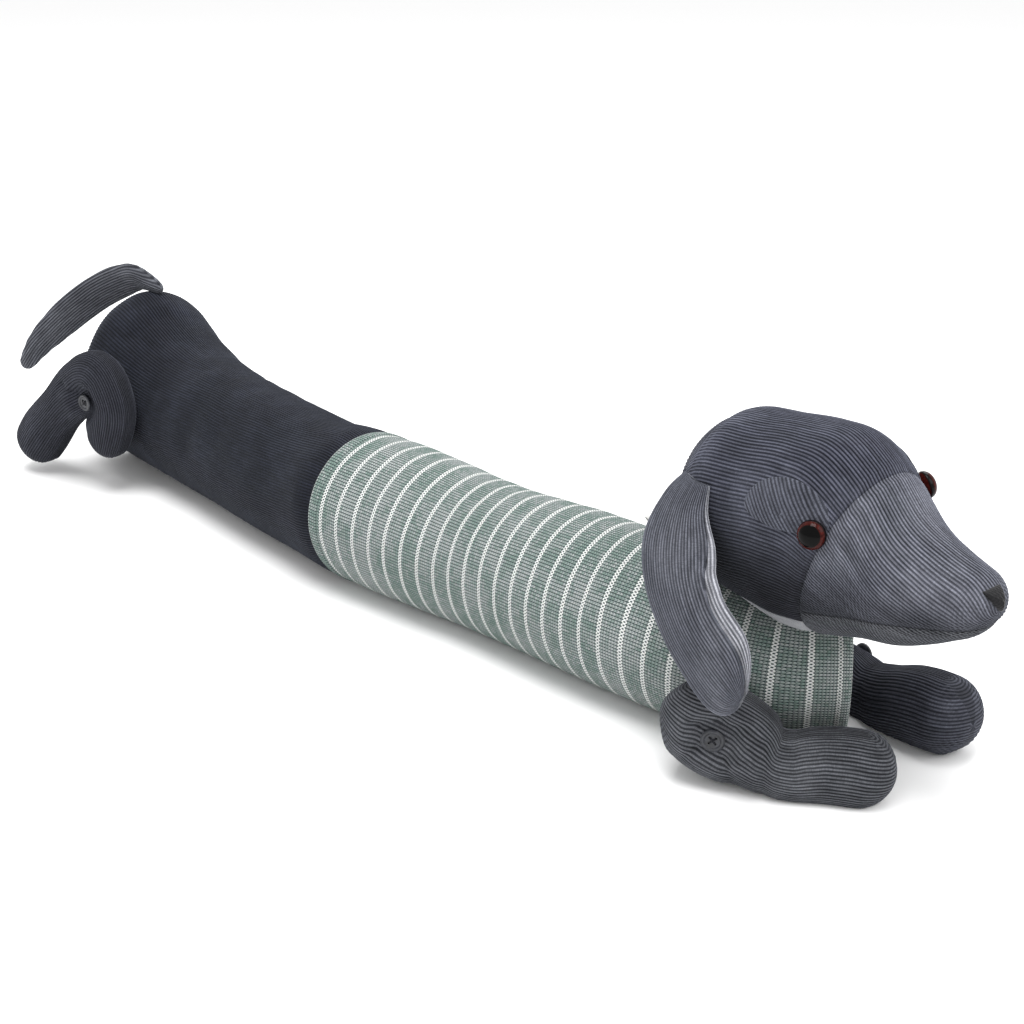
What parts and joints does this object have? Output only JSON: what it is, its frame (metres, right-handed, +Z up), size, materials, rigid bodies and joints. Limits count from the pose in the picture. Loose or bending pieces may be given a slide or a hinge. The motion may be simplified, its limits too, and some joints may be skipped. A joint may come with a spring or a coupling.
{
  "type": "draught excluder",
  "caption": "Long stuffed corduroy dog draught excluder in a striped knitted jumper, with hanging ears, buttoned legs and a flat tail.",
  "frame": {"origin": "centre of the footprint on the floor", "axes": "+X along the tube from the tail towards the head, +Y towards the side that the head's front bends to, +Z up"},
  "size_m": [0.9686, 0.2538, 0.2035],
  "materials": {
    "cord_dark": "fine-wale corduroy, dark navy",
    "cord_slate": "fine-wale corduroy, slate blue",
    "cord_pale": "fine-wale corduroy, brushed paler grey",
    "knit": "grey-green marl knit with thin off-white stripes",
    "plain_grey": "smooth plain woven cotton, pale grey",
    "button": "dark, softly polished",
    "eye": "glossy, dark red-brown ring round a black pupil",
    "nose": "black felted thread",
    "label": "pale woven tape, blank"
  },
  "bodies": {
    "root": {"body": "cord_dark", "jumper": "knit", "head_back": "plain_grey", "head_base": "plain_grey", "head_crown": "cord_dark", "head_muzzle": "cord_pale", "head_jaw": "cord_pale", "brow_near": "cord_slate", "brow_far": "cord_slate", "eye_near": "eye", "eye_far": "eye", "nose": "nose", "ear_near": "cord_slate", "ear_far": "cord_slate", "ear_lining_near": "plain_grey", "ear_lining_far": "plain_grey", "leg_front_near": "cord_slate", "leg_front_far": "cord_slate", "leg_hind_near": "cord_slate", "leg_hind_far": "cord_slate", "button_front_near": "button", "button_front_far": "button", "button_hind_near": "button", "button_hind_far": "button", "tail": "cord_pale", "label": "label"}
  },
  "joints": []
}
